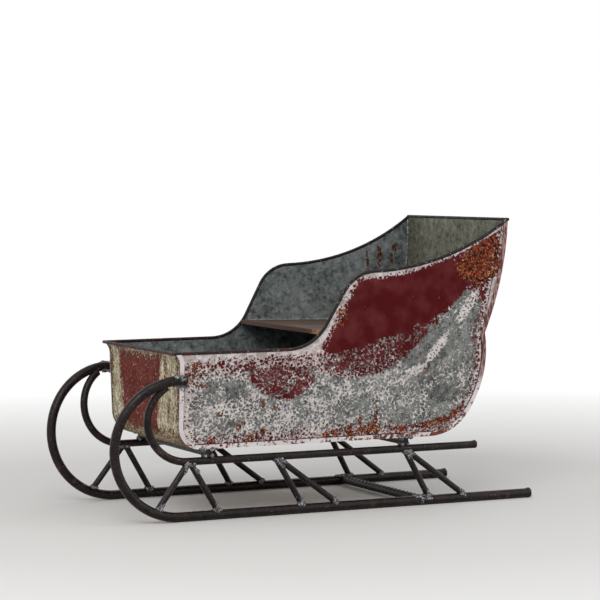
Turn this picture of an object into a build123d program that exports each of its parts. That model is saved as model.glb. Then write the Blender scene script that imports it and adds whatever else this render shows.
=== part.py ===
from build123d import *
from math import asin, cos, degrees, radians, sin, sqrt, tan
import os

# A small sheet-metal sleigh for a table or a porch: a galvanised tub with a seat, welded to a
# frame of round bar with curled runners. Everything is seamed or welded, so nothing moves.
# The origin is on the ground under the middle; the curls point to -X and the left side is -Y.

# Bar stock of the frame
runner_d = 10
rail_d = 8
brace_d = 6.5
cross_rod_d = 8
tie_core_d = 8.4
tie_rib_d = 9.8
tie_rib_pitch = 8.8
tie_rib_width = 3

# Frame: heights, half gauges and lengths; the tub's nose stands behind the curls
length = 484
nose_setback = 75
runner_half_gauge = 98
rail_half_gauge = 95.3
rail_height = 61
rail_length = 344
curl_radius = 70.5
curl_lean_start = 60
curl_past_top = 4
weld_gap = 0.05
rail_curl_setback = 10
rail_curl_radius = 43
rail_curl_angle = 147
rail_lean_start = 60
rail_lean = 13
cross_rod_overhang = 3
tie_clearance = 1

# Distances behind the nose
cross_rod_setbacks = (33, 258)
tie_setback = 277
# One row for each pair of braces: the apex on the rail, then the two feet on the runner
brace_setbacks = (
    (12.5, -26.3, 44.6),
    (108.1, 139.9, 182.7),
    (258.2, 287.4, 332.4),
)

# Sheet metal of the tub
sheet = 1
seam_width = 4.5
rim_d = 3.4
floor_half_width = 96.7
side_lean = 4.95
nose_radius = 24
front_rise = 63.5
flare_radius = 14.5
flare_angle = 54
low_rim_length = 126.5
rise_radius = 49
rise_angle = 60.4
rise_length = 38.5
brow_radius = 41
brow_angle = 59.5
sweep_radius = 272
sweep_angle = 35.1
floor_length = 264.6
heel_radius = 53.15
heel_angle = 54.7
bulge_radius = 110.75
bulge_angle = 47.05
back_radius = 330
seat_setback = 156
seat_height = 191
seat_slope = 1.45
seat_lip = 4.5
seat_nip_length = 9
seat_nip_gap = 0.5

# Places that follow from these: the cross rods lie on the rails and carry the tub's floor
front_x = -length / 2
nose_x = front_x + nose_setback
curl_x = front_x + runner_d / 2 + curl_radius
runner_height = runner_d / 2
cross_rod_height = rail_height + (rail_d + cross_rod_d) / 2
floor_height = cross_rod_height + cross_rod_d / 2
lean_sine = sin(radians(side_lean))
lean_cosine = cos(radians(side_lean))

# Seen from the left, x runs to the rear and y up from the tub's floor; the left side's faces
# lean outwards
side_view = Plane((0, 0, floor_height), x_dir=(1, 0, 0), z_dir=(0, -1, 0))
outside = Plane(
    origin=(0, -floor_half_width, floor_height),
    x_dir=(1, 0, 0),
    z_dir=(0, -lean_cosine, -lean_sine),
)
inside = outside.offset(-sheet)

# The tub's side view, drawn once and used for the sides, wraps, seams and rims
nose_end = (nose_x + nose_radius, 0)
with BuildLine() as pattern:
    bottom = Line(nose_end, (nose_end[0] + floor_length, 0))
    heel = JernArc(bottom @ 1, bottom % 1, heel_radius, heel_angle)
    bulge = JernArc(heel @ 1, heel % 1, bulge_radius, bulge_angle)
    nose = JernArc(nose_end, (-1, 0), nose_radius, -90)
    front = Line(nose @ 1, nose @ 1 + Vector(0, front_rise))
    flare = JernArc(front @ 1, front % 1, flare_radius, flare_angle)
    low_rim = Line(flare @ 1, flare @ 1 + Vector(low_rim_length, 0))
    rise = JernArc(low_rim @ 1, low_rim % 1, rise_radius, rise_angle)
    slope = Line(rise @ 1, rise @ 1 + rise_length * (rise % 1))
    brow = JernArc(slope @ 1, slope % 1, brow_radius, -brow_angle)
    sweep_up = JernArc(brow @ 1, brow % 1, sweep_radius, sweep_angle)
    back = RadiusArc(sweep_up @ 1, bulge @ 1, back_radius)
crease = bulge @ 1
side_outline = make_face(pattern.edges(), mode=Mode.PRIVATE)

os.makedirs("parts", exist_ok=True)


def band(edges, width, side):
    """The strip that lies along the inside of a run of the side view's edge."""
    with BuildLine() as strip:
        add(edges)
        offset(amount=width, side=side)
    return make_face(strip.edges(), mode=Mode.PRIVATE)


def span_the_tub():
    """Run the waiting profile from the left side's inside face to the right side's."""
    extrude(amount=length / 2)
    split(bisect_by=inside, keep=Keep.BOTTOM)
    mirror(about=Plane.XZ)


def lay_on_side(inner, outer):
    """Turn the waiting profile into a sheet between two planes of the left side."""
    extrude(amount=length / 2)
    split(bisect_by=outer, keep=Keep.BOTTOM)
    split(bisect_by=inner, keep=Keep.TOP)


def on_side(point):
    """A point of the side view, in the middle of the left side's sheet."""
    out = floor_half_width - sheet / 2 / lean_cosine + point.Y * lean_sine / lean_cosine
    return Vector(point.X, -out, floor_height + point.Y)


def cut_away(*pieces):
    """Take pieces that are in place already out of the waiting one, so that it seats on them."""
    for piece in pieces:
        add(piece.part, mode=Mode.SUBTRACT)


def mirrored(piece):
    """The right-hand copy of a left-hand piece."""
    with BuildPart() as copy:
        mirror(piece.part, about=Plane.XZ)
    return copy


def save(piece, name):
    """Label a finished piece and write it under its name."""
    piece.part.label = name
    export_step(piece.part, f"parts/{name}.step")


def save_both(piece, name):
    """Write a left-hand piece and its mirror image on the right."""
    save(piece, f"{name}_left")
    save(mirrored(piece), f"{name}_right")


# The top edges are rolled round a wire, and the sheets end in this round rim
with BuildLine() as rim_line:
    for edge in (low_rim, slope):
        Line(on_side(edge @ 0), on_side(edge @ 1))
    for edge in (rise, brow, sweep_up):
        ThreePointArc(on_side(edge @ 0), on_side(edge @ 0.5), on_side(edge @ 1))
front_corner = on_side(low_rim @ 0)
rear_corner = on_side(sweep_up @ 1)
with BuildPart() as side_rim:
    with BuildSketch(Plane(front_corner, z_dir=(1, 0, 0))):
        Circle(rim_d / 2)
    sweep(path=Wire(rim_line.edges()))
save_both(side_rim, "rim")
rims = [side_rim, mirrored(side_rim)]

for name, corner in (("rim_front", front_corner), ("rim_rear", rear_corner)):
    with BuildPart() as cross_rim:
        with BuildSketch(Plane.XZ):
            with Locations((corner.X, corner.Z)):
                Circle(rim_d / 2)
        extrude(amount=rim_d / 2 - corner.Y, both=True)
        cut_away(side_rim, mirrored(side_rim))
    save(cross_rim, name)
    rims.append(cross_rim)

# The two sides are flat sheets that lean outwards
with BuildPart() as side_panel:
    with BuildSketch(side_view):
        add(side_outline)
    lay_on_side(inside, outside)
    cut_away(*rims)
save_both(side_panel, "side_panel")

# Four bent sheets run across between the sides, edge to edge
wrap_runs = {
    "front_panel": ((nose, front, flare), Side.RIGHT),
    "floor_pan": ((bottom,), Side.LEFT),
    "rear_bulge": ((heel, bulge), Side.LEFT),
    "back_panel": ((back,), Side.RIGHT),
}
wraps = {}
for name, (edges, side) in wrap_runs.items():
    with BuildPart() as wrap:
        with BuildSketch(side_view):
            add(band(edges, sheet, side))
        span_the_tub()
        cut_away(*rims)
    save(wrap, name)
    wraps[name] = wrap

# The seat is a sheet with its front edge turned down; it slopes a little to the back panel
seat_x = nose_x + seat_setback
seat_top = seat_height - floor_height
seat_drop = (crease.X - seat_x) * tan(radians(seat_slope))
rim_beside_seat = on_side(Vector(seat_x, seat_top))
with BuildPart() as seat:
    with BuildSketch(side_view):
        with BuildLine():
            Polyline(
                (seat_x, seat_top - seat_lip),
                (seat_x, seat_top),
                (crease.X, seat_top - seat_drop),
            )
            offset(amount=sheet, side=Side.RIGHT)
        make_face()
    span_the_tub()
    cut_away(wraps["back_panel"])
    # Its front corners are nipped off round the rims
    with Locations(rim_beside_seat, (rim_beside_seat.X, -rim_beside_seat.Y, rim_beside_seat.Z)):
        Box(
            2 * seat_nip_length,
            rim_d + 2 * seat_nip_gap,
            2 * (seat_lip + sheet),
            mode=Mode.SUBTRACT,
        )
save(seat, "seat")

# The wraps' edges are folded over the outside of the sides as a narrow seam
with BuildPart() as seam:
    with BuildSketch(side_view):
        for edges, side in wrap_runs.values():
            add(band(edges, seam_width, side))
        with Locations(crease):
            Circle(seam_width)
        add(side_outline, mode=Mode.INTERSECT)
    lay_on_side(outside, outside.offset(sheet))
    cut_away(*rims)
save_both(seam, "seam")


def half_width(height):
    """Outside half width of the tub at a height above the ground."""
    return floor_half_width + (height - floor_height) * lean_sine / lean_cosine


def leaning_plane(point, heading, angle):
    """A plane through a left-hand bar's heading that is tipped outwards."""
    face_out = Vector(0, -1, 0).rotate(Axis((0, 0, 0), heading), -angle)
    return Plane(point, x_dir=heading, z_dir=face_out)


# The runner's curl leans out from part of the way up, so that its top lies against the seam at
# the tub's front edge; the tip runs on a little past that
top_height = runner_height + 2 * curl_radius
top_half_width = half_width(top_height) + (sheet + runner_d / 2 + weld_gap) / lean_cosine
top_reach = curl_radius * (1 - cos(radians(180 - curl_lean_start)))
curl_lean = degrees(asin((top_half_width - runner_half_gauge) / top_reach))
lean_over = 180 - curl_lean_start + curl_past_top
with BuildLine(Plane.XZ.offset(runner_half_gauge)):
    bar = Line((length / 2, runner_height), (curl_x, runner_height))
    toe = JernArc(bar @ 1, bar % 1, curl_radius, -curl_lean_start)
with BuildLine(leaning_plane(toe @ 1, toe % 1, curl_lean)):
    curl = JernArc((0, 0), (1, 0), curl_radius, -lean_over)
with BuildPart() as runner:
    with BuildSketch(Plane(bar @ 0, z_dir=bar % 0)):
        Circle(runner_d / 2)
    sweep(path=Wire([bar, toe, curl]))
save_both(runner, "runner")

# The upper rail is bent up inside the curl and ends against it
rail_curl_x = nose_x + rail_curl_setback
with BuildLine(Plane.XZ.offset(rail_half_gauge)):
    rail_bar = Line((nose_x + rail_length, rail_height), (rail_curl_x, rail_height))
    rail_toe = JernArc(rail_bar @ 1, rail_bar % 1, rail_curl_radius, -rail_lean_start)
with BuildLine(leaning_plane(rail_toe @ 1, rail_toe % 1, rail_lean)):
    rail_curl = JernArc((0, 0), (1, 0), rail_curl_radius, rail_lean_start - rail_curl_angle)
with BuildPart() as rail:
    with BuildSketch(Plane(rail_bar @ 0, z_dir=rail_bar % 0)):
        Circle(rail_d / 2)
    sweep(path=Wire([rail_bar, rail_toe, rail_curl]))
    cut_away(runner)
save_both(rail, "rail")


def runner_point(x):
    """The middle of the left runner at a place along it, on the bar or on the toe."""
    climb = curl_radius - sqrt(curl_radius**2 - min(x - curl_x, 0) ** 2)
    return Vector(x, -runner_half_gauge, runner_height + climb)


# Round braces stand between rail and runner, two from each apex
for row, (apex_setback, *foot_setbacks) in enumerate(brace_setbacks, start=1):
    apex = Vector(nose_x + apex_setback, -rail_half_gauge, rail_height)
    pair = []
    for place, foot_setback in zip(("front", "rear"), foot_setbacks):
        foot = runner_point(nose_x + foot_setback)
        with BuildPart() as brace:
            with BuildSketch(Plane(apex, z_dir=foot - apex)):
                Circle(brace_d / 2)
            extrude(amount=(foot - apex).length)
            cut_away(rail, runner, *pair)
        pair.append(brace)
        save_both(brace, f"brace_{row}_{place}")

# Two plain rods lie across the rails and carry the tub
for place, setback in zip(("front", "rear"), cross_rod_setbacks):
    with BuildPart() as cross_rod:
        with BuildSketch(Plane.XZ):
            with Locations((nose_x + setback, cross_rod_height)):
                Circle(cross_rod_d / 2)
        extrude(amount=rail_half_gauge + cross_rod_overhang, both=True)
        cut_away(seam, mirrored(seam))
    save(cross_rod, f"cross_rod_{place}")

# A ribbed bar ties the runners together just clear of the ground
tie_height = tie_rib_d / 2 + tie_clearance
rib_count = round((2 * runner_half_gauge - runner_d) / tie_rib_pitch) - 1
with BuildPart() as tie_bar:
    with BuildSketch(Plane.XY.offset(tie_height)):
        with BuildLine(Plane.XY):
            tie_x = nose_x + tie_setback
            edge_x = tie_x + tie_core_d / 2
            ridge_x = tie_x + tie_rib_d / 2
            points = [(tie_x, -runner_half_gauge), (edge_x, -runner_half_gauge)]
            for rib in range(rib_count):
                y = (rib - (rib_count - 1) / 2) * tie_rib_pitch
                points += [(edge_x, y - tie_rib_width / 2), (ridge_x, y), (edge_x, y + tie_rib_width / 2)]
            points += [(edge_x, runner_half_gauge), (tie_x, runner_half_gauge)]
            Polyline(*points, close=True)
        make_face()
    revolve(axis=Axis((tie_x, 0, tie_height), (0, 1, 0)))
    cut_away(runner, mirrored(runner))
save(tie_bar, "tie_bar")
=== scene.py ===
from math import cos, pi, radians, sin, sqrt, tau

import bmesh
import bpy
from mathutils import Matrix, Vector


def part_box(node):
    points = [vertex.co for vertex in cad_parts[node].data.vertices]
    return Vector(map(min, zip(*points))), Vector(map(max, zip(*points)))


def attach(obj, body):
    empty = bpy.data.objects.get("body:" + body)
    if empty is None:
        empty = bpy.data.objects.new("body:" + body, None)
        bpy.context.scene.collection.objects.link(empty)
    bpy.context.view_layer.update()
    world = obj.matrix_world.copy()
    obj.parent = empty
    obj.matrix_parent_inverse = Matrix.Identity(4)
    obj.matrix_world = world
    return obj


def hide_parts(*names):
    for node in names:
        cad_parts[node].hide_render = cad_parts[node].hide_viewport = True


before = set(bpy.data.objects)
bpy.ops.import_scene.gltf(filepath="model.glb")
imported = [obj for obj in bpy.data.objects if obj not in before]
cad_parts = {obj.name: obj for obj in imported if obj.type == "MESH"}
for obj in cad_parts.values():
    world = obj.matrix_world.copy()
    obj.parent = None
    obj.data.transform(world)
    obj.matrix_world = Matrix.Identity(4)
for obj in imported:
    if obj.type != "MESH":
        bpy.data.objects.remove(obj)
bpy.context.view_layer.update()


# ---- The tub's two sides ----
# Flat sheets of galvanised steel that lean outwards. They were painted dark red and then
# white, and rubbed back until red and zinc came through; rust has crept in from the edges.

class Level:
    """One output of a node; sums with it add the nodes that work them out."""

    def __init__(self, nodes, socket):
        self.nodes, self.socket = nodes, socket

    def math(self, operation, *values, clamp=False):
        settings = {"operation": operation, "use_clamp": clamp}
        return self.nodes.node("ShaderNodeMath", settings, dict(enumerate(values)))

    def __add__(self, other):
        return self.math("ADD", self, other)

    def __sub__(self, other):
        return self.math("SUBTRACT", self, other)

    def __rsub__(self, other):
        return self.math("SUBTRACT", other, self)

    def __mul__(self, other):
        return self.math("MULTIPLY", self, other)

    def __truediv__(self, other):
        return self.math("DIVIDE", self, other)

    __radd__ = __add__
    __rmul__ = __mul__

    def size(self):
        return self.math("ABSOLUTE", self)

    def most(self, other):
        return self.math("MAXIMUM", self, other)

    def least(self, other, rounding=0.0):
        return self.math("SMOOTH_MIN", self, other, rounding)

    def past(self, edge, soft):
        """0 below an edge and 1 above it, with a soft change from one to the other."""
        return self.math("MULTIPLY_ADD", self, 1 / soft, 0.5 - edge / soft, clamp=True)


class Nodes:
    """A node tree that is written as expressions; each node gives back one of its outputs."""

    def __init__(self, tree):
        self.tree = tree

    def fill(self, node, sockets):
        """Link a node's inputs to levels, or set them to plain values."""
        for name, value in sockets.items():
            if isinstance(value, Level):
                self.tree.links.new(value.socket, node.inputs[name])
            else:
                node.inputs[name].default_value = value

    def node(self, kind, settings, sockets, out=0):
        """Any other node: its settings, then its inputs."""
        made = self.tree.nodes.new(kind)
        for name, value in settings.items():
            setattr(made, name, value)
        self.fill(made, sockets)
        return Level(self, made.outputs[out])


class Finish(Nodes):
    """The finish of one kind of metal on the sleigh, worked out in millimetres over the object."""

    def __init__(self, name):
        self.material = bpy.data.materials.new(name)
        self.material.use_nodes = True
        super().__init__(self.material.node_tree)
        self.shader = self.tree.nodes["Principled BSDF"]
        place = self.node("ShaderNodeTexCoord", {}, {}, "Object")
        scale = {0: place, 1: (1000.0, 1000.0, 1000.0)}
        self.place = self.node("ShaderNodeVectorMath", {"operation": "MULTIPLY"}, scale)
        self.x, self.y, self.z = (
            self.node("ShaderNodeSeparateXYZ", {}, {0: self.place}, axis) for axis in range(3)
        )

    def in_grains(self, grain, shift, stretch=(1, 1, 1)):
        """The place counted in grains, and shifted so that no two textures match."""
        step = {0: self.place, 1: tuple(share / grain for share in stretch), 2: shift}
        return self.node("ShaderNodeVectorMath", {"operation": "MULTIPLY_ADD"}, step)

    def noise(self, grain, seed, detail=2.0, rough=0.5, twist=0.0, stretch=(1, 1, 1)):
        """Cloudy noise with spots about one grain across, spread evenly from 0 to 1."""
        at = self.in_grains(grain, (seed * 7.31, seed * 3.17, seed * 5.73), stretch)
        spots = {"Vector": at, "Scale": 1.0, "Detail": detail, "Roughness": rough}
        cloud = self.node("ShaderNodeTexNoise", {}, {**spots, "Distortion": twist})
        return cloud.math("MULTIPLY_ADD", cloud, 2.6, -0.8, clamp=True)

    def crystals(self, grain, seed):
        """A random level for each crystal of the zinc."""
        at = self.in_grains(grain, (seed * 3.9, seed * 8.3, seed * 1.7))
        tint = self.node("ShaderNodeTexVoronoi", {}, {"Vector": at, "Scale": 1.0}, "Color")
        return self.node("ShaderNodeSeparateColor", {}, {0: tint})

    def veins(self, grain, seed):
        """1 on the ragged borders of small cells, falling to 0 in their middles."""
        at = self.in_grains(grain, (seed * 2.3, seed * 9.1, seed * 4.7))
        ragged = {"Vector": at, "Scale": 1.7, "Detail": 2.0}
        ragged = self.node("ShaderNodeTexNoise", {}, ragged, "Color")
        at = self.node("ShaderNodeVectorMath", {"operation": "ADD"}, {0: at, 1: ragged})
        border = {"feature": "DISTANCE_TO_EDGE"}
        inward = self.node("ShaderNodeTexVoronoi", border, {"Vector": at, "Scale": 1.0})
        return (1 - inward * 3.2).most(0.0)

    def flat(self, along):
        """A flat view of the object: its height over a level that runs along it."""
        return self.node("ShaderNodeCombineXYZ", {}, {0: along, 2: self.z})

    def away(self, at, middle):
        """How far a place on a flat view lies from a point of that view."""
        reach = {0: at, 1: (middle[0], 0.0, middle[1])}
        return self.node("ShaderNodeVectorMath", {"operation": "DISTANCE"}, reach, "Value")

    def spot(self, at, middle, radii, turn=0.0):
        """An oval on a flat view: 1 in its middle, 0 on its edge, and less outside."""
        settings = {"vector_type": "TEXTURE"}
        sockets = {
            "Vector": at,
            "Location": (middle[0], 0.0, middle[1]),
            "Rotation": (0.0, radians(-turn), 0.0),
            "Scale": (radii[0], 1.0, radii[1]),
        }
        at = self.node("ShaderNodeMapping", settings, sockets)
        return 1 - self.node("ShaderNodeVectorMath", {"operation": "LENGTH"}, {0: at}, "Value")

    def spots(self, at, *ovals):
        """The highest of several ovals."""
        level = self.spot(at, *ovals[0])
        for oval in ovals[1:]:
            level = level.most(self.spot(at, *oval))
        return level

    def area(self, at, *corners):
        """How far inside a bulging patch a place lies; the patch's corners run clockwise."""
        inside = None
        for (x0, z0), (x1, z1) in zip(corners, corners[1:] + corners[:1]):
            length = sqrt((x1 - x0) ** 2 + (z1 - z0) ** 2)
            across = ((z1 - z0) / length, 0.0, (x0 - x1) / length)
            aim = {0: at, 1: across}
            reach = self.node("ShaderNodeVectorMath", {"operation": "DOT_PRODUCT"}, aim, "Value")
            depth = reach - (x0 * across[0] + z0 * across[2])
            inside = depth if inside is None else inside.least(depth, 5.0)
        return inside

    def blend(self, mask, under, over):
        """A colour laid over another where the mask is 1."""
        return self.node("ShaderNodeMix", {"data_type": "RGBA"}, {0: mask, 6: under, 7: over}, 2)

    def coat(self, colour, rough, metallic, relief, height, specular=0.5):
        """Join the colour, roughness, metal and relief to the shader."""
        bump = {"Height": relief, "Distance": height, "Strength": 1.0}
        normal = self.node("ShaderNodeBump", {}, bump)
        look = {"Base Color": colour, "Roughness": rough, "Metallic": metallic, "Normal": normal}
        self.fill(self.shader, {**look, "Specular IOR Level": specular})
        return self.material


def shade(red, green, blue):
    """A colour given on the screen's scale of 0 to 255, as the shader needs it."""
    parts = (red / 255, green / 255, blue / 255)
    return (*(((part + 0.055) / 1.055) ** 2.4 for part in parts), 1.0)


def zinc(finish, dark, light):
    """Weathered zinc: dull crystals, clouds and small dark pits."""
    tone = finish.crystals(4.5, 1) * 0.25 + finish.noise(8, 2, 3.0, 0.6) * 0.35
    tone = tone + finish.noise(2.2, 3) * 0.2 + finish.noise(36, 4) * 0.2
    return finish.blend(tone.past(0.5, 0.62), shade(*dark), shade(*light)), tone


def rust(finish):
    """Rust: dark red brown, with orange veins where it is fresh and black pits."""
    old, young = shade(64, 24, 18), shade(116, 46, 28)
    orange, pale_orange = shade(158, 74, 30), shade(200, 134, 86)
    brown = finish.blend(finish.noise(5, 12, 3.0), old, young)
    fresh = finish.veins(2.8, 13) * 0.6 + finish.noise(2.4, 14, 3.0, 0.6) * 0.6
    orange = finish.blend(finish.noise(7, 15), orange, pale_orange)
    brown = finish.blend(fresh.past(0.86, 0.2), brown, orange)
    pits = finish.noise(2.9, 11, 3.0, 0.6).past(0.66, 0.1)
    return finish.blend(pits, brown, shade(26, 16, 16))


def painted_sheet(
    name, outside, at, red, white, rusty, dark_marks, stains, reds, whites, bares, withins, brush=(11, 1)
):
    """Both faces of a painted sheet. The functions say how much of each coat is left somewhere;
    each tint is a pair of colours, and the brush is the grain and stretch of the white's strokes.
    """
    finish = Finish(name)
    at = at(finish)
    # The outer face: zinc under red under white, with rust and dark marks over them
    bare, tone = zinc(finish, *bares)
    patchy = finish.noise(2.8, 21, 4.0, 0.66, 0.4)
    lacy = finish.noise(2.8, 22, 3.0, 0.6, 0.3) * 0.5 + finish.veins(4.2, 28) * 0.5
    red_left = (red(finish, at) + patchy).past(1.0, 0.1)
    white_left = (white(finish, at) + lacy).past(1.0, 0.12)
    rust_left = (rusty(finish, at) + finish.noise(3.2, 23, 4.0, 0.7)).past(1.0, 0.1)
    faded = finish.noise(22, 24).past(0.6, 0.7)
    deep_red = finish.blend(faded, *(shade(*tint) for tint in reds))
    grain, stretch = brush
    strokes = finish.noise(grain, 26, 4.0, 0.65, stretch=(1, 1, stretch)).past(0.5, 0.8)
    old_white = finish.blend(strokes, *(shade(*tint) for tint in whites))
    old_white = finish.blend(finish.noise(1.6, 29) * 0.25, old_white, shade(122, 114, 114))
    thin = finish.noise(6, 30, 3.0, 0.6).past(0.5, 0.4) * red_left * 0.42
    old_white = finish.blend(thin, old_white, deep_red)
    colour = finish.blend(red_left, bare, deep_red)
    colour = finish.blend(white_left, colour, old_white)
    colour = finish.blend(rust_left, colour, rust(finish))
    # Dark marks: specks, dots and a thin darker line just inside the seams
    colour = finish.blend(dark_marks(finish, at), colour, shade(44, 26, 26))
    # The inner face: bare zinc with a few stains
    stain = finish.blend(finish.noise(2.5, 38, 3.0), shade(36, 22, 16), shade(112, 64, 36))
    within = finish.blend(stains(finish), zinc(finish, *withins)[0], stain)
    painted = outside(finish)
    colour = finish.blend(painted, within, colour)
    paint = red_left.most(white_left).most(rust_left) * painted
    rough = 0.6 - tone * 0.15 + paint * 0.1
    metallic = 0.3 - paint * 0.3
    relief = white_left * 0.7 + red_left * 0.4 + rust_left * finish.noise(1.5, 27) + tone * 0.3
    return finish.coat(colour, rough, metallic, relief, 0.0002, specular=0.08)


def dress(nodes, material):
    """Give a finish to pieces whose CAD shape is right."""
    for node in nodes:
        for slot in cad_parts[node].material_slots:
            slot.material = material


# In millimetres: half the floor's width, its height, and how far a side leans out for each one up
floor_half_width, floor_height, side_lean = 96.7, 73, 0.0866


def inside_edge(finish):
    """How far a point lies inside the outer face of the nearer side."""
    return (finish.z - floor_height) * side_lean + floor_half_width - finish.y.size()


def side_outside(finish):
    """1 on the outer face of either side."""
    return 1 - inside_edge(finish).past(0.5, 0.2)


def seen_from_side(finish):
    """The side view; the right-hand side is turned end for end, so that its wear differs."""
    turned = finish.y.past(0.0, 1.0) * (30 - finish.x * 2)
    return finish.flat(finish.x + turned)


def below_rim(finish):
    """How far a point of a side lies below the rim: a low run, a slope and a long sweep."""
    low_rim = 172.2
    slope_x, slope_z, across_x, across_z = -3.9, 197, 0.8695, 0.494
    sweep_middle, sweep_radius = (45.8, 523.3), 272
    sweep = finish.away(finish.flat(finish.x), sweep_middle) - sweep_radius
    slope = (finish.x - slope_x) * across_x - (finish.z - slope_z) * across_z
    return (low_rim - finish.z).most(slope.least(sweep, 6.0))


def from_seam(finish):
    """How far a point of a side lies from the sheet's front, bottom and rear edge."""
    nose_x, flare_z = -167, 160
    bulge_middle, bulge_radius = (74.6, 159.4), 110.75
    crease_x, crease_z, across_x, across_z = 185.3, 182, 0.986, 0.1664
    bulge = bulge_radius - finish.away(finish.flat(finish.x), bulge_middle)
    bulge = bulge + (bulge_middle[0] - finish.x).most(0.0) * 5
    back = (finish.z - crease_z) * across_z - (finish.x - crease_x) * across_x
    rear = bulge + (back - bulge) * finish.z.past(crease_z, 1)
    front = finish.x - nose_x + (finish.z - flare_z).most(0.0) * 0.35
    return front.least(finish.z - floor_height, 18.0).least(rear)


def side_red(finish, at):
    """A solid field behind the seat, a speckled one below it and a worn patch at the front."""
    wander = finish.noise(11, 33, 3.0, 0.6) * 1.5 - 0.75
    main = finish.area(
        at, (-8, 168), (20, 230), (46, 247), (172, 265), (178, 252), (152, 220), (128, 203),
        (105, 193), (81, 184), (46, 174), (14, 166),
    ) / 5
    speckled = finish.area(
        at, (-18, 152), (-4, 170), (124, 208), (128, 196), (84, 154), (62, 142), (10, 138)
    ) / 9
    second = finish.area(
        at, (-94, 154), (-76, 157), (-30, 158), (-12, 142), (-26, 124), (-44, 116), (-70, 122),
        (-92, 140),
    ) / 8
    scattered = finish.area(at, (-158, 170), (-80, 168), (-86, 142), (-152, 140)) / 20
    behind_rust = finish.area(at, (140, 262), (196, 284), (206, 244), (184, 206), (152, 236)) / 9
    under_white = (1.4 - below_rim(finish) * 0.04).least(0.95)
    level = (main + 0.7 + wander * 0.8).most((speckled + 0.4).least(0.66) + wander * 0.25)
    level = level.most((second + 0.1).least(0.68) + wander * 0.3).most(scattered.least(0.45))
    level = level.most((behind_rust + 0.3).least(0.8)).most(under_white)
    return level.most((1.0 - from_seam(finish) * 0.04).least(0.66)).most(0.2)


def side_white(finish, at):
    """White lace over most of the side, full along its edges and nearly gone from the red."""
    wander = finish.noise(20, 31, 3.0, 0.6) * 0.36 - 0.18
    red = finish.area(
        at, (-6, 166), (20, 228), (48, 248), (170, 266), (160, 230), (128, 202), (66, 175),
        (14, 163),
    )
    speckled = finish.area(at, (-8, 150), (0, 166), (128, 204), (124, 190), (62, 140))
    second = finish.area(
        at, (-92, 153), (-60, 157), (-20, 154), (-12, 140), (-34, 120), (-68, 120), (-92, 138)
    )
    clear = finish.area(at, (82, 190), (132, 200), (150, 198), (142, 160), (104, 142), (76, 160))
    clear = clear.most(finish.area(at, (-140, 142), (-98, 144), (-88, 126), (-130, 118)))
    level = 0.41 - (finish.x + 60).most(0.0) * 0.0008 + wander
    level = level - (clear / 30 + 0.1).most(0.0).least(0.2) - (speckled / 30).most(0.0).least(0.1)
    flecks = finish.spot(at, (20, 206), (22, 34)).most(0.0) * 0.5
    level = level + flecks - (red / 9).most(0.0).least(0.9) - (second / 12).most(0.0).least(0.14)
    ridge = finish.spots(
        at, ((162, 212), (30, 8), 56), ((127, 168), (30, 7), 52), ((98, 143), (24, 7), 23)
    )
    level = level.most((ridge * 1.4).least(0.56))
    edge = from_seam(finish)
    level = level.most(0.74 - edge / 26 + wander * 0.5)
    level = level.most(1.3 - edge / 7)
    level = level.most(1.25 - (finish.x + 172) / 24 + wander)
    band = 12 - (finish.x - 30).most(0.0).least(90) * 0.075
    top = 1.1 - (finish.x + 40).least(0.0) * 0.002
    return level.most(top - below_rim(finish) / band + wander * 0.4)


def side_rust(finish, at):
    """Rust at the upper rear corner, round the curl's weld, in flecks and along the bottom."""
    corner = finish.area(
        at, (142, 256), (160, 276), (192, 292), (203, 276), (200, 244), (180, 230), (150, 240)
    ) / 12
    weld = finish.spots(at, ((-164, 148), (26, 17)), ((-152, 158), (16, 7), 30)) * 1.2
    flecks = finish.spots(
        at, ((-145, 150), (9, 5)), ((-139, 139), (9, 4)), ((-122, 108), (5, 3)),
        ((-99, 96), (7, 6)), ((-75, 116), (5, 4)), ((-60, 112), (4, 3)), ((13, 206), (8, 15)),
        ((113, 144), (5, 4)),
    )
    drips = finish.spots(
        at, ((-132, 79), (6, 8)), ((-86, 81), (14, 7), 24), ((-74, 88), (5, 6)), ((3, 80), (12, 6)),
        ((27, 82), (10, 10)), ((50, 84), (14, 9)), ((85, 83), (12, 4)), ((128, 88), (24, 5), 14),
        ((38, 90), (3, 16)), ((56, 96), (3, 18)), ((150, 97), (16, 5), 38),
    )
    edge = (0.78 - (finish.z - 74) * 0.08) * finish.noise(20, 32).past(0.6, 0.5)
    rear = (0.56 - from_seam(finish) * 0.05) * finish.noise(30, 34).past(0.5, 0.5)
    level = (corner + 0.3).least(0.72).most(weld.least(0.56)).most((flecks + 0.2).least(0.5))
    return level.most((drips + 0.2).least(0.66)).most(edge).most(rear).most(0.05)


def side_dark_marks(finish, at):
    """A thin dark line along the inner side of the seam, and black dots at a knock."""
    line = 1 - (from_seam(finish) - 5.0).size() / 0.8
    line = (line * 2).least(finish.noise(9, 35) * 1.6 + 0.1)
    knock = finish.spot(at, (26, 210), (24, 26))
    dots = knock.least(0.3) + finish.noise(3.2, 36).past(0.86, 0.1) * 0.8
    dots = dots * knock.past(0.0, 0.1)
    return line.most(dots.past(0.8, 0.1)).most(0.0).least(0.92)


def side_stains(finish):
    """Runs of rust inside the tub, high up on the right-hand side."""
    runs = finish.spots(
        finish.flat(finish.x), ((165.5, 260), (4, 18)), ((186, 268), (6, 5)),
        ((181, 255), (3, 8)), ((150, 254), (2, 14)),
    )
    level = (runs * 0.9).least(0.55) + finish.noise(3.5, 37, 3.0, 0.6) * finish.y.past(0.0, 1.0)
    return level.past(0.8, 0.2)


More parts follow.
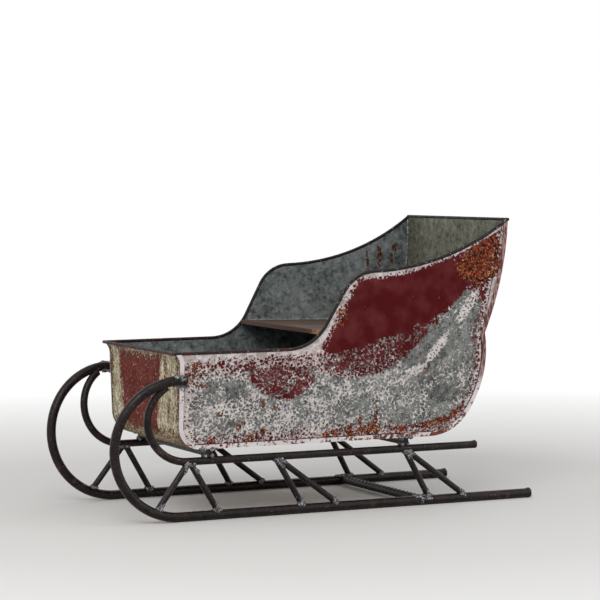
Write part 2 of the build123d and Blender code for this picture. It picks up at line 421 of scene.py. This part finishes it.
sides = [f"side_panel_{side}" for side in ("left", "right")]
side_paint = painted_sheet(
    "side_paint", side_outside, seen_from_side,
    red=side_red, white=side_white, rusty=side_rust, dark_marks=side_dark_marks, stains=side_stains,
    reds=((74, 10, 14), (94, 36, 39)), whites=((192, 184, 186), (224, 217, 212)),
    bares=((60, 64, 62), (142, 145, 141)), withins=((58, 64, 64), (142, 147, 146)),
)
dress(sides, side_paint)


# ---- The seams ----
# The edges of the cross sheets are folded over the sides as a narrow double seam. The seam
# kept most of its white paint; its upper part is streaked with red, and its foot has rusted.

seam = Finish("seam_paint")
foot_height, upper_height, rear_x = 130, 200, 60
worn = (seam.noise(4, 41, 3.0, 0.6) + 0.12).past(1.0, 0.14)
clean_white = seam.blend(seam.noise(18, 42), shade(200, 190, 194), shade(220, 213, 210))
spotted = seam.blend(worn, clean_white, shade(104, 52, 50))
foot = (0.9 - (seam.z - floor_height) * 0.04) * seam.noise(22, 43)
foot = foot + (seam.x - rear_x).past(20, 80) * 0.3
foot = foot * seam.z.math("LESS_THAN", seam.z, foot_height)
rusted = (foot + seam.noise(4, 44, 3.0, 0.6)).past(1.0, 0.14)
upper = seam.z + seam.noise(20, 45) * 16 + (seam.x - rear_x).most(0.0) * 0.5
upper = upper.past(upper_height, 30)
fold = 1 - (seam.noise(2.4, 46, stretch=(1, 1, 0.1)) - 0.5).size() * 5
streaked = seam.blend(fold.most(0.0), shade(84, 34, 36), shade(170, 136, 128))
spotted = seam.blend(upper, spotted, streaked)
seam_colour = seam.blend(rusted, spotted, rust(seam))
seam_relief = worn * -0.5 + rusted + seam.noise(9, 47)
seam_paint = seam.coat(seam_colour, 0.5 + worn * 0.2, 0.0, seam_relief, 0.00015)
dress([f"seam_{side}" for side in ("left", "right")], seam_paint)


# ---- The four cross sheets ----
# Bent galvanised sheets that run across between the sides: the front, the floor, the round
# rear and the tall back. They are painted outside like the sides and left bare inside.

def seen_from_end(finish):
    """The end view of a cross sheet."""
    return finish.flat(finish.y)


def facing(x, z):
    """A level that is 1 on the face of a sheet that looks this way."""

    def face(finish):
        normal = finish.node("ShaderNodeNewGeometry", {}, {}, "Normal")
        aim = {0: normal, 1: (x, 0.0, z)}
        turned = finish.node("ShaderNodeVectorMath", {"operation": "DOT_PRODUCT"}, aim, "Value")
        return turned.past(0.0, 0.02)

    return face


def front_strokes(finish):
    """Upright strokes that break up the front's coats."""
    return finish.noise(12, 53, 4.0, 0.7, stretch=(1, 1, 0.6))


def front_red(finish, at):
    """A red field down the middle of the front."""
    field = finish.area(at, (-54, 176), (84, 176), (62, 88), (-42, 84)) / 7
    return (field + front_strokes(finish) * 2 - 0.4).least(1.0).most(0.16)


def front_white(finish, at):
    """Cream on either side of the red, flecks in it and a broken band under the rim."""
    wander = front_strokes(finish) * 1.2 - 0.6
    field = finish.area(at, (-50, 172), (78, 174), (58, 88), (-40, 84)) / 14
    level = 0.66 - (field + wander * 0.5 + 0.2).most(0.0).least(0.5)
    top = 0.62 - (172 - finish.z) / 26 + wander * 0.3
    return level.most(top) - (96 - finish.z).most(0.0) / 90


def front_rust(finish, at):
    """Runs of rust beside the red, and rust along the bottom and the sides."""
    streak = finish.spots(
        at, ((-63, 150), (7, 24)), ((-58, 168), (14, 7)), ((-72, 116), (5, 14)),
        ((-98, 140), (5, 40)),
    )
    bottom = (104 - finish.z) / 30
    sides_edge = (finish.y.size() - 88) / 14
    level = (streak + 0.2).least(0.55).most(bottom.least(0.46)).most(sides_edge.least(0.55))
    return level.most(0.16)


def end_dark_marks(finish, at):
    """Dark specks, more of them towards the sides, and a thin line beside the seams."""
    specks = finish.noise(2.3, 54, 3.0, 0.65, stretch=(1, 1, 0.6))
    outward = (finish.y.size() - 20) / 210
    line = 1 - (inside_edge(finish) - 3.2).size() / 1.2
    line = line.least(finish.noise(7, 60) * 1.4)
    return (specks + outward).past(1.0, 0.14).most(line) * 0.8


def end_stains(finish):
    """A few specks of rust on the bare inside."""
    return finish.noise(5, 59, 4.0, 0.65).past(0.97, 0.1)


rear_rim = 304


def rear_red(finish, at):
    """A solid field high up, a speckled patch low down, and red under the edges' white."""
    wander = finish.noise(11, 55, 3.0, 0.6) * 1.6 - 0.8
    upper = finish.area(at, (-92, 250), (-60, 276), (60, 272), (84, 240), (52, 212), (-70, 208)) / 6
    lower = finish.spot(at, (30, 150), (62, 24), -14) * 1.6
    level = (upper + 0.6 + wander * 0.8).most((lower + 0.2).least(0.66) + wander * 0.25)
    level = level.most((0.9 - inside_edge(finish) * 0.03).least(0.66))
    return level.most((1.1 - (rear_rim - finish.z) / 26).least(0.9)).most(0.2)


def rear_white(finish, at):
    """White lace as on the sides, full along the rim and the seams."""
    wander = finish.noise(20, 56, 3.0, 0.6) * 0.4 - 0.2
    upper = finish.area(at, (-90, 250), (-60, 278), (60, 274), (82, 240), (50, 208), (-68, 204)) / 9
    lower = finish.spot(at, (30, 150), (56, 20), -14)
    level = 0.45 + wander - upper.most(0.0).least(0.9) - lower.most(0.0).least(0.24)
    top = 1.1 - (rear_rim - finish.z) / 14 + wander * 0.4
    return level.most(top).most(1.1 - inside_edge(finish) / 14 + wander * 0.5)


def rear_rust(finish, at):
    """Rust in patches, along the foot and beside the seams."""
    patches = finish.spots(
        at, ((-106, 288), (18, 26)), ((96, 92), (30, 13), -18), ((-64, 82), (36, 10)),
        ((-22, 262), (8, 6)), ((52, 172), (5, 4)), ((-48, 128), (6, 5)), ((14, 84), (10, 14)),
    )
    sides = (0.6 - inside_edge(finish) * 0.05) * finish.noise(26, 57).past(0.5, 0.5)
    foot = (0.8 - (finish.z - 74) * 0.06) * finish.noise(20, 58).past(0.5, 0.5)
    return (patches + 0.25).least(0.66).most(sides).most(foot).most(0.05)


front_paint = painted_sheet(
    "front_paint", facing(-1, -1), seen_from_end,
    red=front_red, white=front_white, rusty=front_rust, dark_marks=end_dark_marks, stains=end_stains,
    reds=((108, 42, 36), (84, 26, 22)), whites=((140, 131, 102), (250, 240, 208)),
    bares=((96, 70, 42), (182, 144, 92)), withins=((66, 72, 72), (134, 139, 138)),
    brush=(4, 0.4),
)
rear_paint = painted_sheet(
    "rear_paint", facing(1, -1), seen_from_end,
    red=rear_red, white=rear_white, rusty=rear_rust, dark_marks=end_dark_marks, stains=end_stains,
    reds=((74, 10, 14), (94, 36, 39)), whites=((192, 184, 186), (224, 217, 212)),
    bares=((60, 64, 62), (142, 145, 141)), withins=((72, 74, 62), (136, 136, 120)),
)
dress(["front_panel", "floor_pan"], front_paint)
dress(["rear_bulge", "back_panel"], rear_paint)


# ---- The rolled rims ----
# The top edges of all the sheets are rolled round a steel wire. Hands and weather have
# rubbed them almost black; some dark red is left on their outer side.

rim = Finish("rim_wire")
left_red = (rim.noise(12, 61, 3.0, 0.6) * 0.6 + (176 - rim.z).most(0.0) * 0.08).past(0.62, 0.2)
rim_colour = rim.blend(left_red, shade(24, 20, 20), shade(66, 20, 21))
rim_colour = rim.blend(rim.noise(3, 62, 2.0).past(0.88, 0.1), rim_colour, shade(120, 114, 108))
rim_rough = 0.45 + rim.noise(5, 63) * 0.2
rims = [f"rim_{place}" for place in ("left", "right", "front", "rear")]
rim_metal = rim.coat(
    rim_colour, rim_rough, 0.1 - left_red * 0.1, rim.noise(4, 64), 0.0001, specular=0.25
)
dress(rims, rim_metal)


# ---- The seat ----
# One sheet with its front edge turned down, soldered across the tub. Its brown primer shows
# scuffs; painted shade darkens the turned-down front edge, and painted light brightens its near
# end.

seat = Finish("seat_metal")
scuffed = seat.noise(9, 71, 4.0, 0.6, stretch=(0.4, 1, 1)).past(0.86, 0.2)
seat_colour = seat.blend(seat.noise(30, 72, 3.0), shade(66, 50, 40), shade(90, 71, 57))
seat_colour = seat.blend(scuffed, seat_colour, shade(108, 92, 78))
# Painted shade: the turned-down front edge is painted a darker red brown along its length
shaded_lip = (-8 - seat.x + seat.noise(5, 73) * 4).past(2.0, 3.0)
seat_colour = seat.blend(shaded_lip, seat_colour, shade(70, 44, 32))
# Painted light: the near end of the front edge is painted a light orange, where the light catches
# it
corner = (-60 - seat.y - seat.x * 3 + seat.noise(4, 74) * 20).past(68, 10)
seat_colour = seat.blend(corner, seat_colour, shade(168, 116, 76))
seat_rough = 0.55 + scuffed * 0.1
seat_metal = seat.coat(
    seat_colour, seat_rough, 0.1 - scuffed * 0.1, scuffed, 0.0001, specular=0.2
)
dress(["seat"], seat_metal)


# ---- The runners, the upper rails and their braces ----
# Round steel bar, curled cold round a former and welded up. The mill scale has gone a
# brown black, with grey rubs where it was handled and a little rust.

bar = Finish("frame_bar")
bar_rust = (bar.noise(6, 81, 4.0, 0.65) + bar.noise(40, 82) * 0.3).past(1.0, 0.2)
rubbed = bar.noise(2, 83, 4.0, 0.65).past(0.92, 0.1)
bar_colour = bar.blend(bar.noise(14, 84, 3.0), shade(13, 10, 11), shade(37, 27, 25))
bar_colour = bar.blend(bar_rust, bar_colour, shade(60, 38, 30))
bar_colour = bar.blend(rubbed, bar_colour, shade(112, 108, 106))
bar_rough = 0.22 + bar.noise(6, 85) * 0.14 + bar_rust * 0.3
bar_relief = bar.noise(2.5, 86, 3.0) * 0.5 + bar.noise(12, 87)
bar_metal = bar.coat(bar_colour, bar_rough, rubbed * 0.5, bar_relief, 0.00025, specular=0.2)
lengths = [f"{kind}_{side}" for kind in ("runner", "rail") for side in ("left", "right")]
braces = [
    f"brace_{pair}_{place}_{side}"
    for pair in (1, 2, 3) for place in ("front", "rear") for side in ("left", "right")
]
dress(lengths + braces + ["cross_rod_front", "cross_rod_rear"], bar_metal)


# ---- The tie bar ----
# A ribbed reinforcing bar between the runners, just off the ground. Two rows of slanted
# crescent ribs are rolled on a round core; traces of greenish yellow are rubbed on them.

ribbed = Finish("ribbed_bar")
high = (ribbed.noise(3, 91, 3.0, 0.6) * 0.5 + ribbed.noise(24, 93) * 0.6).past(0.86, 0.12)
ribbed_colour = ribbed.blend(ribbed.noise(9, 92), shade(26, 21, 20), shade(48, 38, 34))
ribbed_colour = ribbed.blend(high, ribbed_colour, shade(104, 100, 62))
ribbed_metal = ribbed.coat(
    ribbed_colour, 0.4 + high * 0.1, high * 0.1, high, 0.0002, specular=0.2
)


class Shaping(Nodes):
    """A node tree that makes geometry; its named inputs set its sizes."""

    def __init__(self, name, **inputs):
        super().__init__(bpy.data.node_groups.new(name, "GeometryNodeTree"))
        sockets = self.tree.interface
        for label, kind in {"Geometry": "Geometry", **inputs}.items():
            sockets.new_socket(label, in_out="INPUT", socket_type=f"NodeSocket{kind}")
        sockets.new_socket("Geometry", in_out="OUTPUT", socket_type="NodeSocketGeometry")
        self.start = self.tree.nodes.new("NodeGroupInput")

    def given(self, label):
        """One of the inputs."""
        return Level(self, self.start.outputs[label])

    def joined(self, *parts):
        """Several geometries as one."""
        both = self.tree.nodes.new("GeometryNodeJoinGeometry")
        for part in parts:
            self.tree.links.new(part.socket, both.inputs[0])
        return Level(self, both.outputs[0])

    def end(self, geometry, material):
        """Make instances real, smooth and finish them, and pass them out."""
        real = self.node("GeometryNodeRealizeInstances", {}, {0: geometry})
        smooth = self.node("GeometryNodeSetShadeSmooth", {}, {0: real})
        metal = self.node("GeometryNodeSetMaterial", {}, {0: smooth, "Material": material})
        out = self.tree.nodes.new("NodeGroupOutput")
        self.tree.links.new(metal.socket, out.inputs[0])

    def make(self, name, points, **sizes):
        """Run the tree on some points and keep what it makes as a plain mesh."""
        mesh = bpy.data.meshes.new(name)
        mesh.from_pydata(points, [], [])
        piece = bpy.data.objects.new(name, mesh)
        bpy.context.scene.collection.objects.link(piece)
        steps = piece.modifiers.new(name, "NODES")
        steps.node_group = self.tree
        for item in self.tree.interface.items_tree:
            if item.in_out == "INPUT" and item.name in sizes:
                steps[item.identifier] = sizes[item.name]
        depsgraph = bpy.context.evaluated_depsgraph_get()
        made = piece.evaluated_get(depsgraph)
        plain = bpy.data.meshes.new_from_object(made, depsgraph=depsgraph)
        piece.modifiers.clear()
        piece.data = plain
        plain.name = name
        return piece


rolling = Shaping("rolled_bar", Length="Float", Core="Float", Rib="Float")
core_radius, rib_radius = rolling.given("Core"), rolling.given("Rib")
half = rolling.given("Length") * 0.5
ends = {
    "Start": rolling.node("ShaderNodeCombineXYZ", {}, {1: half * -1}),
    "End": rolling.node("ShaderNodeCombineXYZ", {}, {1: half}),
}
middle_line = rolling.node("GeometryNodeCurvePrimitiveLine", {}, ends)
rod_round = {"Resolution": 24, "Radius": core_radius}
rod_round = rolling.node("GeometryNodeCurvePrimitiveCircle", {}, rod_round)
rod = rolling.node("GeometryNodeCurveToMesh", {}, {0: middle_line, 1: rod_round, "Fill Caps": True})
# Two ridges run along the bar, where the rolls met
wire_round = {"Resolution": 8, "Radius": rib_radius}
wire_round = rolling.node("GeometryNodeCurvePrimitiveCircle", {}, wire_round)
ridge = rolling.node("GeometryNodeCurveToMesh", {}, {0: middle_line, 1: wire_round})
offsets = [
    rolling.node("ShaderNodeCombineXYZ", {}, {0: core_radius * side}) for side in (-0.98, 0.98)
]
ridges = [rolling.node("GeometryNodeTransform", {}, {0: ridge, 1: offset}) for offset in offsets]
# One rib: a slanted crescent that fades out at its ends and lies over half of the core
crescent = {"Resolution": 15, "Radius": core_radius, "Start Angle": 0.12, "Sweep Angle": pi - 0.24}
crescent = rolling.node("GeometryNodeCurveArc", {}, crescent)
along = rolling.node("GeometryNodeSplineParameter", {}, {}) * pi
swell = along.math("SINE", along) * 0.9 + 0.1
crescent = {0: crescent, 1: wire_round, "Scale": swell, "Fill Caps": True}
crescent = rolling.node("GeometryNodeCurveToMesh", {}, crescent)
slant = 0.45
laid = {0: crescent, "Rotation": (pi / 2, 0.0, slant), "Scale": (1 / cos(slant), 1.0, 1.0)}
crescent = rolling.node("GeometryNodeTransform", {}, laid)
# Every other rib lies on the underside
count = rolling.node("GeometryNodeInputIndex", {}, {})
under = count.math("MODULO", count, 2.0) * pi
facing_down = rolling.node("ShaderNodeCombineXYZ", {}, {1: under})
facing_down = rolling.node("FunctionNodeEulerToRotation", {}, {0: facing_down})
places = {0: rolling.given("Geometry"), "Instance": crescent, "Rotation": facing_down}
ribs = rolling.node("GeometryNodeInstanceOnPoints", {}, places)
rolling.end(rolling.joined(rod, *ridges, ribs), ribbed_metal)

tie_low, tie_high = (Vector(corner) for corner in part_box("tie_bar"))
rib_count, rib_pitch = 42, 0.0044
first_rib = (rib_count - 1) / 2
rib_places = [(0, rib_pitch * (step - first_rib), 0) for step in range(rib_count)]
tie_bar = rolling.make("tie_bar_ribbed", rib_places, Length=0.196, Core=0.0042, Rib=0.00065)
tie_bar.data.transform(Matrix.Translation((tie_low + tie_high) / 2))
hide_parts("tie_bar")
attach(tie_bar, "root")


# ---- The welds ----
# Stick welds at every joint of the frame: rows of grey blobs that ran together, left as they
# fell, streaked with painted highlights. The tub is held by more of them on the cross rods
# and at the curls.

blob = Finish("weld_metal")
# Painted highlights: pale glints in thin veins over the blobs, which are also made shinier and more
# metallic there
painted_glint = blob.veins(2.4, 104) * 0.5 + blob.noise(2, 101, 3.0, 0.6) * 0.6
painted_glint = painted_glint.past(0.78, 0.3)
blob_colour = blob.blend(blob.noise(3, 105), shade(36, 33, 34), shade(98, 96, 98))
blob_colour = blob.blend(painted_glint, blob_colour, shade(176, 182, 188))
blob_colour = blob.blend(blob.noise(5, 102, 3.0).past(0.84, 0.1), blob_colour, shade(100, 62, 42))
blob_rough = 0.42 - painted_glint * 0.1
weld_metal = blob.coat(
    blob_colour, blob_rough, 0.2 + painted_glint * 0.4, blob.noise(1.2, 103), 0.0003, specular=0.25
)

welding = Shaping("weld_beads", Blob="Float", Grain="Float", Lump="Float")
spread = {2: welding.given("Blob") * 0.45, 3: welding.given("Blob") * 1.2, "Seed": 4}
radii = welding.node("FunctionNodeRandomValue", {}, spread, 1)
drops = welding.node("GeometryNodeMeshToPoints", {}, {0: welding.given("Geometry")})
melt = {0: drops, "Voxel Size": welding.given("Grain"), "Radius": radii}
melt = welding.node("GeometryNodePointsToVolume", {"resolution_mode": "VOXEL_SIZE"}, melt)
skin = welding.node("GeometryNodeVolumeToMesh", {}, {0: melt, "Threshold": 0.1})
wrinkle = welding.node("ShaderNodeTexNoise", {}, {"Scale": 450.0, "Detail": 3.0}) - 0.5
way_out = welding.node("GeometryNodeInputNormal", {}, {})
push = {0: way_out, "Scale": wrinkle * welding.given("Lump")}
push = welding.node("ShaderNodeVectorMath", {"operation": "SCALE"}, push)
welding.end(welding.node("GeometryNodeSetPosition", {}, {0: skin, "Offset": push}), weld_metal)


def ring(bar_axis, bar_radius, start, end, brace_radius, drops=11):
    """Drops round a brace where it meets the round side of a bar that runs along x."""
    way = (end - start).normalized()
    reach = bar_radius / sqrt(1 - way.x ** 2)
    middle = end - way * reach
    across = way.cross(Vector((0, 1, 0))).normalized()
    other = way.cross(across)
    points = []
    for drop in range(drops):
        turn = tau * drop / drops
        point = middle + (across * cos(turn) + other * sin(turn)) * brace_radius
        out = Vector((0, point.y - bar_axis.y, point.z - bar_axis.z)).normalized() * bar_radius
        points.append(Vector((point.x, bar_axis.y, bar_axis.z)) + out)
    return points


def splash(start, end, reach, brace_radius, drops=5):
    """Drops that ran up the outer side of a brace from its end."""
    way = (start - end).normalized()
    out = Vector((way.z, 0, -way.x)) if way.z < 0 else Vector((-way.z, 0, way.x))
    points = []
    for drop in range(drops):
        share = (drop + 1) / drops
        aside = Vector((0, -0.8, 0)) + out * (0.9 - 1.5 * share)
        points.append(end + way * reach * share + aside.normalized() * brace_radius * 0.82)
    return points


def row(start, end, drops):
    """Drops in a straight row."""
    start, end = Vector(start), Vector(end)
    return [start.lerp(end, drop / (drops - 1)) for drop in range(drops)]


def beads(rows, out, up, radius):
    """Rows of drops on the outer side of a bar that runs along x, each at its own angle."""
    points = []
    for start, end, angle in rows:
        y, z = -out - radius * cos(angle), up + radius * sin(angle)
        points += row((start, y, z), (end, y, z), round((end - start) / 0.0022))
    return points


def both_sides(points):
    """Points of one side and the same points on the other side."""
    return points + [Vector((point.x, -point.y, point.z)) for point in points]


# How far out and how high the middle lines of the bars run, and how thick the bars are
rail_out, rail_up, rail_radius = 0.0953, 0.061, 0.004
runner_out, runner_up, runner_radius = 0.098, 0.005, 0.005
curl_out, curl_up = 0.109, 0.1453
brace_radius = 0.0033
# Each pair of braces: the place along x where they meet on the rail, and their two feet
brace_places = (
    (-0.1545, (-0.1933, 0.0103), (-0.1224, runner_up)),
    (-0.0589, (-0.0271, runner_up), (0.0157, runner_up)),
    (0.0912, (0.1204, runner_up), (0.1654, runner_up)),
)
joints = []
for apex_x, *feet in brace_places:
    for foot_x, foot_z in feet:
        apex = Vector((apex_x, -rail_out, rail_up))
        foot = Vector((foot_x, -runner_out, foot_z))
        joints += ring(foot, runner_radius, apex, foot, 0.0037)
        joints += ring(apex, rail_radius, foot, apex, 0.0034, 8)
        joints += splash(apex, foot, 0.012, brace_radius)
        joints += splash(foot, apex, 0.013, brace_radius)
# The cross rods on the rails, before and behind each rod, and the floor on the rods
for rod_x in (-0.134, 0.091):
    for side in (-1, 1):
        beside = rod_x + side * 0.0035
        joints += row((beside, -0.099, 0.066), (beside, -0.092, 0.066), 5)
        near, far = rod_x + side * 0.004, rod_x + side * 0.009
        joints += row((near, -0.0975, 0.0725), (far, -0.0965, 0.073), 4)
# The tie bar on the runner, and the curl's end on the tub
tie_rows = (
    (0.101, 0.117, 1.7), (0.103, 0.120, 1.1), (0.110, 0.121, 0.4), (0.104, 0.109, -0.2),
)
curl_rows = ((-0.177, -0.163, 1.9), (-0.173, -0.162, 1.2), (-0.168, -0.162, 0.4))
joints += beads(tie_rows, runner_out, runner_up, 0.0042)
joints += beads(curl_rows, curl_out, curl_up, rail_radius)
joints += row((0.104, -0.094, 0.0095), (0.117, -0.094, 0.0095), 6)
joints += row((-0.174, -0.1055, 0.1410), (-0.162, -0.1060, 0.1400), 7)
welds = welding.make("welds", both_sides(joints), Blob=0.0023, Grain=0.0005, Lump=0.0018)
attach(welds, "root")


# ---- The solder ----
# Thin pale lines of solder close the tub's inner corners and hold the seat's two ends.

tin = Finish("solder")
dull = tin.noise(6, 111, 3.0)
tin_colour = tin.blend(dull, shade(120, 122, 118), shade(168, 168, 160))
tin_metal = tin.coat(tin_colour, 0.45 + dull * 0.1, 0.5 - dull * 0.1, tin.noise(3, 112), 0.0002)
corner_drops, bow = 60, 0.0052
run_corner = row((0.1826, 0.1048, 0.188), (0.2035, 0.1146, 0.301), corner_drops)
for drop, point in enumerate(run_corner):
    point.x += bow * (1 - (2 * drop / (corner_drops - 1) - 1) ** 2)
run_seat = row((0.0, 0.1050, 0.1906), (0.180, 0.1046, 0.1862), 80)
soldered = both_sides(run_corner + run_seat)
solder = welding.make("solder_lines", soldered, Blob=0.0012, Grain=0.0004, Lump=0.0004)
solder.data.materials.clear()
solder.data.materials.append(tin_metal)
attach(solder, "root")


# ---- The cut ends of the bars ----
# The bars were cropped in a shear, which squeezed their ends and left a raised, ragged lip.

def cropped_end(name, middle, radius, turn):
    """A squeezed end with a burr that stands up on one side."""
    mesh = bmesh.new()
    # Each ring: how far along the bar it lies, its share of the radius and of the burr
    rings = (
        (-0.005, 0.985, 0.0), (-0.003, 1.03, 0.15), (-0.0016, 1.05, 0.6), (-0.0004, 1.0, 1.0),
        (0.0004, 0.92, 0.8), (0.0002, 0.76, 0.3), (-0.0003, 0.5, 0.1), (-0.0006, 0.2, 0.0),
    )
    sides = 28
    loops = []
    for reach, width, raised in rings:
        loop = []
        for side in range(sides):
            angle = tau * side / sides
            high = max(cos(angle - turn), 0.0) ** 2 * 0.0007 * raised
            rough = 0.00012 * sin(5 * angle + 7 * width) + 0.0001 * sin(11 * angle + 3 * raised)
            out = radius * width + high + rough
            place = (middle[0] + reach, middle[1] + sin(angle) * out, middle[2] + cos(angle) * out)
            loop.append(mesh.verts.new(place))
        loops.append(loop)
    for inner, outer in zip(loops, loops[1:]):
        for side in range(sides):
            after = (side + 1) % sides
            mesh.faces.new((inner[side], inner[after], outer[after], outer[side]))
    mesh.faces.new(loops[-1])
    mesh.faces.new(reversed(loops[0]))
    bmesh.ops.recalc_face_normals(mesh, faces=mesh.faces)
    made = bpy.data.meshes.new(name)
    mesh.to_mesh(made)
    mesh.free()
    made.polygons.foreach_set("use_smooth", [True] * len(made.polygons))
    made.materials.append(bar_metal)
    end = bpy.data.objects.new(name, made)
    bpy.context.scene.collection.objects.link(end)
    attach(end, "root")


for side, way in (("left", -1), ("right", 1)):
    runner_end, rail_end = (0.242, way * runner_out, runner_up), (0.177, way * rail_out, rail_up)
    cropped_end(f"runner_end_{side}", runner_end, runner_radius, 0.5)
    cropped_end(f"rail_end_{side}", rail_end, rail_radius, -0.3)


# ---- Looking at it ----
# A plain pale floor, soft studio light from the front and above, and the photograph's view.

floor_mesh = bpy.data.meshes.new("floor")
floor_mesh.from_pydata([(-6, -6, 0), (6, -6, 0), (6, 6, 0), (-6, 6, 0)], [], [(0, 1, 2, 3)])
floor = bpy.data.objects.new("floor", floor_mesh)
bpy.context.scene.collection.objects.link(floor)
ground = Finish("floor")
ground.shader.inputs["Base Color"].default_value = (0.8, 0.79, 0.77, 1)
ground.shader.inputs["Roughness"].default_value = 0.8
far = ground.node("ShaderNodeVectorMath", {"operation": "LENGTH"}, {0: ground.place}, "Value")
glow = ground.node("ShaderNodeEmission", {}, {"Color": (1, 1, 1, 1), "Strength": 1.0})
fade = {0: far.past(900, 900), 1: Level(ground, ground.shader.outputs[0]), 2: glow}
faded = ground.node("ShaderNodeMixShader", {}, fade)
ground.tree.links.new(faded.socket, ground.tree.nodes["Material Output"].inputs["Surface"])
floor_mesh.materials.append(ground.material)

world = bpy.data.worlds.new("studio")
bpy.context.scene.world = world
world.use_nodes = True
sky = Nodes(world.node_tree)
seen = sky.node("ShaderNodeLightPath", {}, {}, "Is Camera Ray")
mirrored = sky.node("ShaderNodeLightPath", {}, {}, "Is Glossy Ray")
through = sky.node("ShaderNodeLightPath", {}, {}, "Is Transmission Ray")
plain_level = 0.55
strength = seen.most(mirrored).most(through) * (1 - plain_level) + plain_level
background = world.node_tree.nodes["Background"]
background.inputs["Color"].default_value = (1, 1, 1, 1)
world.node_tree.links.new(strength.socket, background.inputs["Strength"])

for name, place, size, energy in (
    ("key_light", (-1.3, -1.7, 1.7), 1.4, 26),
    ("fill_light", (1.6, -1.4, 1.0), 1.6, 8),
):
    lamp = bpy.data.lights.new(name, "AREA")
    lamp.size = size
    lamp.energy = energy
    light = bpy.data.objects.new(name, lamp)
    light.location = place
    towards = Vector((0, 0, 0.12)) - Vector(place)
    light.rotation_euler = towards.to_track_quat("-Z", "Y").to_euler()
    bpy.context.scene.collection.objects.link(light)

lens = bpy.data.cameras.new("camera")
lens.lens = 146.92
lens.sensor_width = 36
lens.clip_end = 20
camera = bpy.data.objects.new("camera", lens)
bpy.context.scene.collection.objects.link(camera)
heading, dip, tilt = 0.425263, 0.052998, 0.008222
camera.matrix_world = (
    Matrix.Translation((-1.0776, -2.41088, 0.35755))
    @ Matrix.Rotation(-heading, 4, "Z")
    @ Matrix.Rotation(pi / 2 - dip, 4, "X")
    @ Matrix.Rotation(-tilt, 4, "Z")
)
bpy.context.scene.camera = camera
bpy.context.scene.view_settings.view_transform = "Standard"
